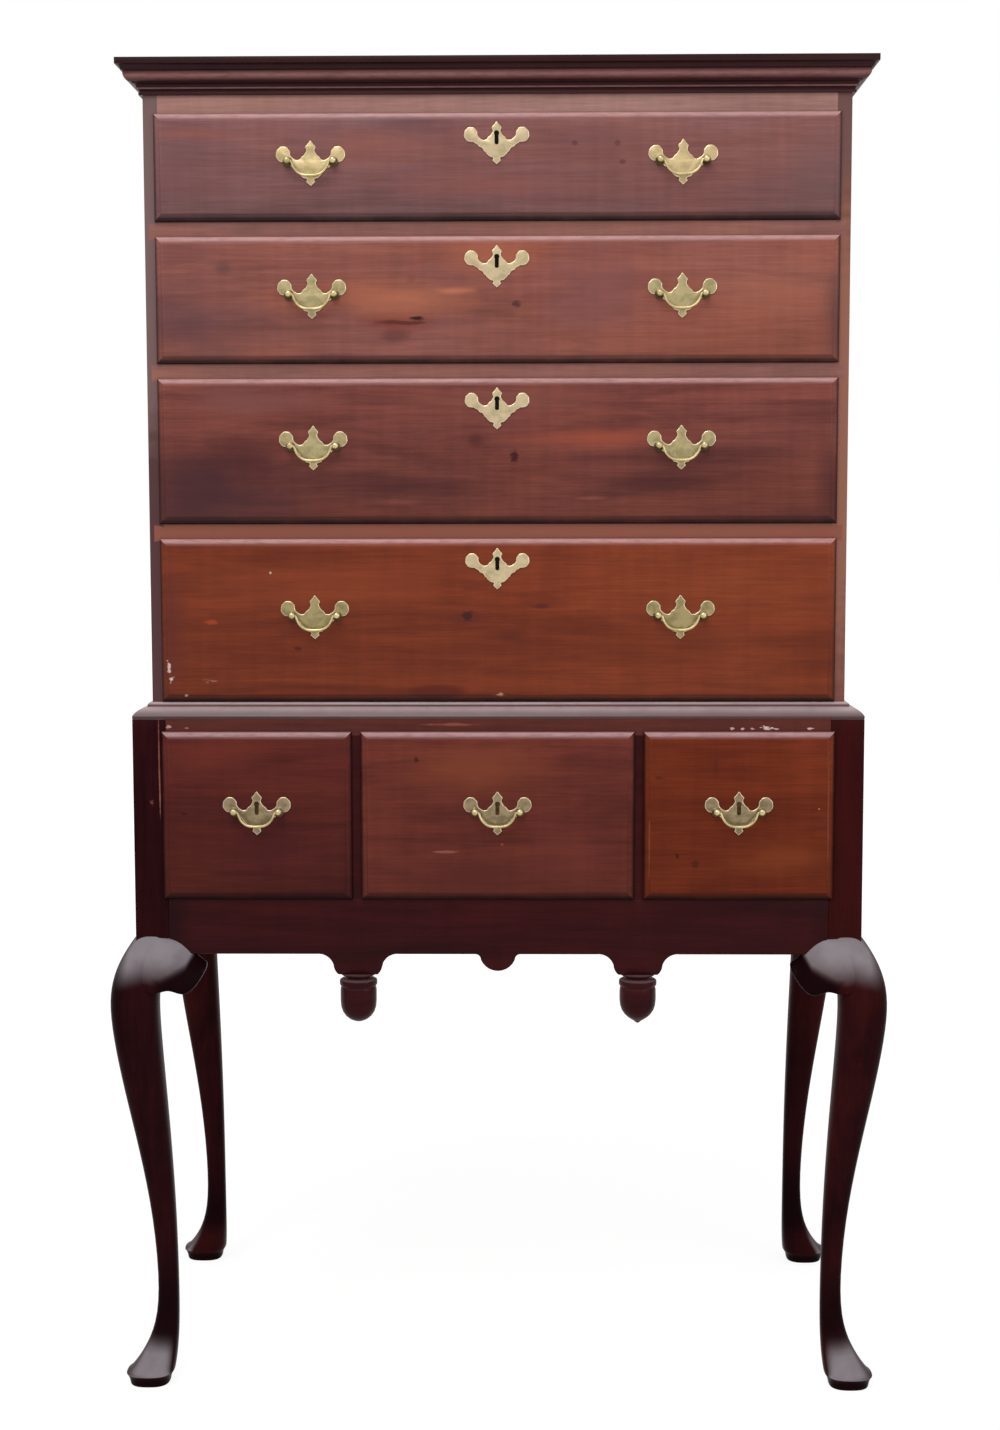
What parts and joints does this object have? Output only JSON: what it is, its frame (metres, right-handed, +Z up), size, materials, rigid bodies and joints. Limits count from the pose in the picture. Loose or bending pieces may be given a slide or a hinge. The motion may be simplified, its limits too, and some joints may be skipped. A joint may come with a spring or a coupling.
{
  "type": "highboy",
  "caption": "Tall wooden chest of lipped drawers on a cabriole-legged base, with a flat moulded top, shaped skirt, turned drops and brass bail pulls.",
  "frame": {"origin": "middle of the bounding box on the floor, under the middle of the base", "axes": "+X to the right seen from the front, +Y from the drawer fronts to the back, +Z up"},
  "size_m": [1.05, 0.592, 1.7825],
  "materials": {
    "case_wood": "old reddish brown varnish on cherry, satin",
    "front_wood": "old reddish brown varnish on cherry, satin",
    "secondary_wood": "bare aged pine",
    "brass": "worn polished brass",
    "lock_steel": "dull dark iron"
  },
  "bodies": {
    "case": {"leg_front_left": "case_wood", "leg_front_right": "case_wood", "leg_back_left": "case_wood", "leg_back_right": "case_wood", "skirt_board": "case_wood", "base_top_rail": "case_wood", "base_side_right": "case_wood", "base_side_left": "case_wood", "base_back_board": "secondary_wood", "base_partitions": "case_wood", "base_runners": "secondary_wood", "base_guides": "secondary_wood", "knee_brackets": "case_wood", "skirt_drops": "case_wood", "waist_moulding": "case_wood", "upper_side_right": "case_wood", "upper_side_left": "case_wood", "upper_top_board": "secondary_wood", "upper_bottom_board": "secondary_wood", "upper_back_boards": "secondary_wood", "frieze_rail": "case_wood", "drawer_dividers": "case_wood", "upper_runners": "secondary_wood", "cornice": "case_wood"},
    "upper_drawer_1": {"upper_drawer_1_front": "front_wood", "upper_drawer_1_box": "secondary_wood", "upper_drawer_1_brasses": "brass"},
    "upper_drawer_1_bolt": {"upper_drawer_1_lock_bolt": "lock_steel"},
    "upper_drawer_1_left_bail": {"upper_drawer_1_bail_left": "brass"},
    "upper_drawer_1_right_bail": {"upper_drawer_1_bail_right": "brass"},
    "upper_drawer_2": {"upper_drawer_2_front": "front_wood", "upper_drawer_2_box": "secondary_wood", "upper_drawer_2_brasses": "brass"},
    "upper_drawer_2_bolt": {"upper_drawer_2_lock_bolt": "lock_steel"},
    "upper_drawer_2_left_bail": {"upper_drawer_2_bail_left": "brass"},
    "upper_drawer_2_right_bail": {"upper_drawer_2_bail_right": "brass"},
    "upper_drawer_3": {"upper_drawer_3_front": "front_wood", "upper_drawer_3_box": "secondary_wood", "upper_drawer_3_brasses": "brass"},
    "upper_drawer_3_bolt": {"upper_drawer_3_lock_bolt": "lock_steel"},
    "upper_drawer_3_left_bail": {"upper_drawer_3_bail_left": "brass"},
    "upper_drawer_3_right_bail": {"upper_drawer_3_bail_right": "brass"},
    "upper_drawer_4": {"upper_drawer_4_front": "front_wood", "upper_drawer_4_box": "secondary_wood", "upper_drawer_4_brasses": "brass"},
    "upper_drawer_4_bolt": {"upper_drawer_4_lock_bolt": "lock_steel"},
    "upper_drawer_4_left_bail": {"upper_drawer_4_bail_left": "brass"},
    "upper_drawer_4_right_bail": {"upper_drawer_4_bail_right": "brass"},
    "base_drawer_left": {"base_drawer_left_front": "front_wood", "base_drawer_left_box": "secondary_wood", "base_drawer_left_brasses": "brass"},
    "base_drawer_left_bail_body": {"base_drawer_left_bail": "brass"},
    "base_drawer_centre": {"base_drawer_centre_front": "front_wood", "base_drawer_centre_box": "secondary_wood", "base_drawer_centre_brasses": "brass"},
    "base_drawer_centre_bail_body": {"base_drawer_centre_bail": "brass"},
    "base_drawer_right": {"base_drawer_right_front": "front_wood", "base_drawer_right_box": "secondary_wood", "base_drawer_right_brasses": "brass"},
    "base_drawer_right_bail_body": {"base_drawer_right_bail": "brass"}
  },
  "joints": [
    {"name": "upper_drawer_1_slide", "type": "slide", "parent": "case", "child": "upper_drawer_1", "axis": [0, -1, 0], "range_m": [0, 0.34]},
    {"name": "upper_drawer_1_bolt_slide", "type": "slide", "parent": "upper_drawer_1", "child": "upper_drawer_1_bolt", "axis": [0, 0, 1], "range_m": [0, 0.008]},
    {"name": "upper_drawer_1_left_bail_hinge", "type": "hinge", "parent": "upper_drawer_1", "child": "upper_drawer_1_left_bail", "pos_m": [-0.244, -0.2548, 1.6522], "axis": [-1, 0, 0], "range_deg": [-12, 165]},
    {"name": "upper_drawer_1_right_bail_hinge", "type": "hinge", "parent": "upper_drawer_1", "child": "upper_drawer_1_right_bail", "pos_m": [0.244, -0.2548, 1.6522], "axis": [-1, 0, 0], "range_deg": [-12, 165]},
    {"name": "upper_drawer_2_slide", "type": "slide", "parent": "case", "child": "upper_drawer_2", "axis": [0, -1, 0], "range_m": [0, 0.34]},
    {"name": "upper_drawer_2_bolt_slide", "type": "slide", "parent": "upper_drawer_2", "child": "upper_drawer_2_bolt", "axis": [0, 0, 1], "range_m": [0, 0.008]},
    {"name": "upper_drawer_2_left_bail_hinge", "type": "hinge", "parent": "upper_drawer_2", "child": "upper_drawer_2_left_bail", "pos_m": [-0.244, -0.2548, 1.48005], "axis": [-1, 0, 0], "range_deg": [-12, 165]},
    {"name": "upper_drawer_2_right_bail_hinge", "type": "hinge", "parent": "upper_drawer_2", "child": "upper_drawer_2_right_bail", "pos_m": [0.244, -0.2548, 1.48005], "axis": [-1, 0, 0], "range_deg": [-12, 165]},
    {"name": "upper_drawer_3_slide", "type": "slide", "parent": "case", "child": "upper_drawer_3", "axis": [0, -1, 0], "range_m": [0, 0.34]},
    {"name": "upper_drawer_3_bolt_slide", "type": "slide", "parent": "upper_drawer_3", "child": "upper_drawer_3_bolt", "axis": [0, 0, 1], "range_m": [0, 0.008]},
    {"name": "upper_drawer_3_left_bail_hinge", "type": "hinge", "parent": "upper_drawer_3", "child": "upper_drawer_3_left_bail", "pos_m": [-0.244, -0.2548, 1.2816], "axis": [-1, 0, 0], "range_deg": [-12, 165]},
    {"name": "upper_drawer_3_right_bail_hinge", "type": "hinge", "parent": "upper_drawer_3", "child": "upper_drawer_3_right_bail", "pos_m": [0.244, -0.2548, 1.2816], "axis": [-1, 0, 0], "range_deg": [-12, 165]},
    {"name": "upper_drawer_4_slide", "type": "slide", "parent": "case", "child": "upper_drawer_4", "axis": [0, -1, 0], "range_m": [0, 0.34]},
    {"name": "upper_drawer_4_bolt_slide", "type": "slide", "parent": "upper_drawer_4", "child": "upper_drawer_4_bolt", "axis": [0, 0, 1], "range_m": [0, 0.008]},
    {"name": "upper_drawer_4_left_bail_hinge", "type": "hinge", "parent": "upper_drawer_4", "child": "upper_drawer_4_left_bail", "pos_m": [-0.244, -0.2548, 1.05685], "axis": [-1, 0, 0], "range_deg": [-12, 165]},
    {"name": "upper_drawer_4_right_bail_hinge", "type": "hinge", "parent": "upper_drawer_4", "child": "upper_drawer_4_right_bail", "pos_m": [0.244, -0.2548, 1.05685], "axis": [-1, 0, 0], "range_deg": [-12, 165]},
    {"name": "base_drawer_left_slide", "type": "slide", "parent": "case", "child": "base_drawer_left", "axis": [0, -1, 0], "range_m": [0, 0.34]},
    {"name": "base_drawer_left_bail_body_hinge", "type": "hinge", "parent": "base_drawer_left", "child": "base_drawer_left_bail_body", "pos_m": [-0.322, -0.2788, 0.7959], "axis": [-1, 0, 0], "range_deg": [-12, 165]},
    {"name": "base_drawer_centre_slide", "type": "slide", "parent": "case", "child": "base_drawer_centre", "axis": [0, -1, 0], "range_m": [0, 0.34]},
    {"name": "base_drawer_centre_bail_body_hinge", "type": "hinge", "parent": "base_drawer_centre", "child": "base_drawer_centre_bail_body", "pos_m": [0, -0.2788, 0.7959], "axis": [-1, 0, 0], "range_deg": [-12, 165]},
    {"name": "base_drawer_right_slide", "type": "slide", "parent": "case", "child": "base_drawer_right", "axis": [0, -1, 0], "range_m": [0, 0.34]},
    {"name": "base_drawer_right_bail_body_hinge", "type": "hinge", "parent": "base_drawer_right", "child": "base_drawer_right_bail_body", "pos_m": [0.322, -0.2788, 0.7959], "axis": [-1, 0, 0], "range_deg": [-12, 165]}
  ]
}
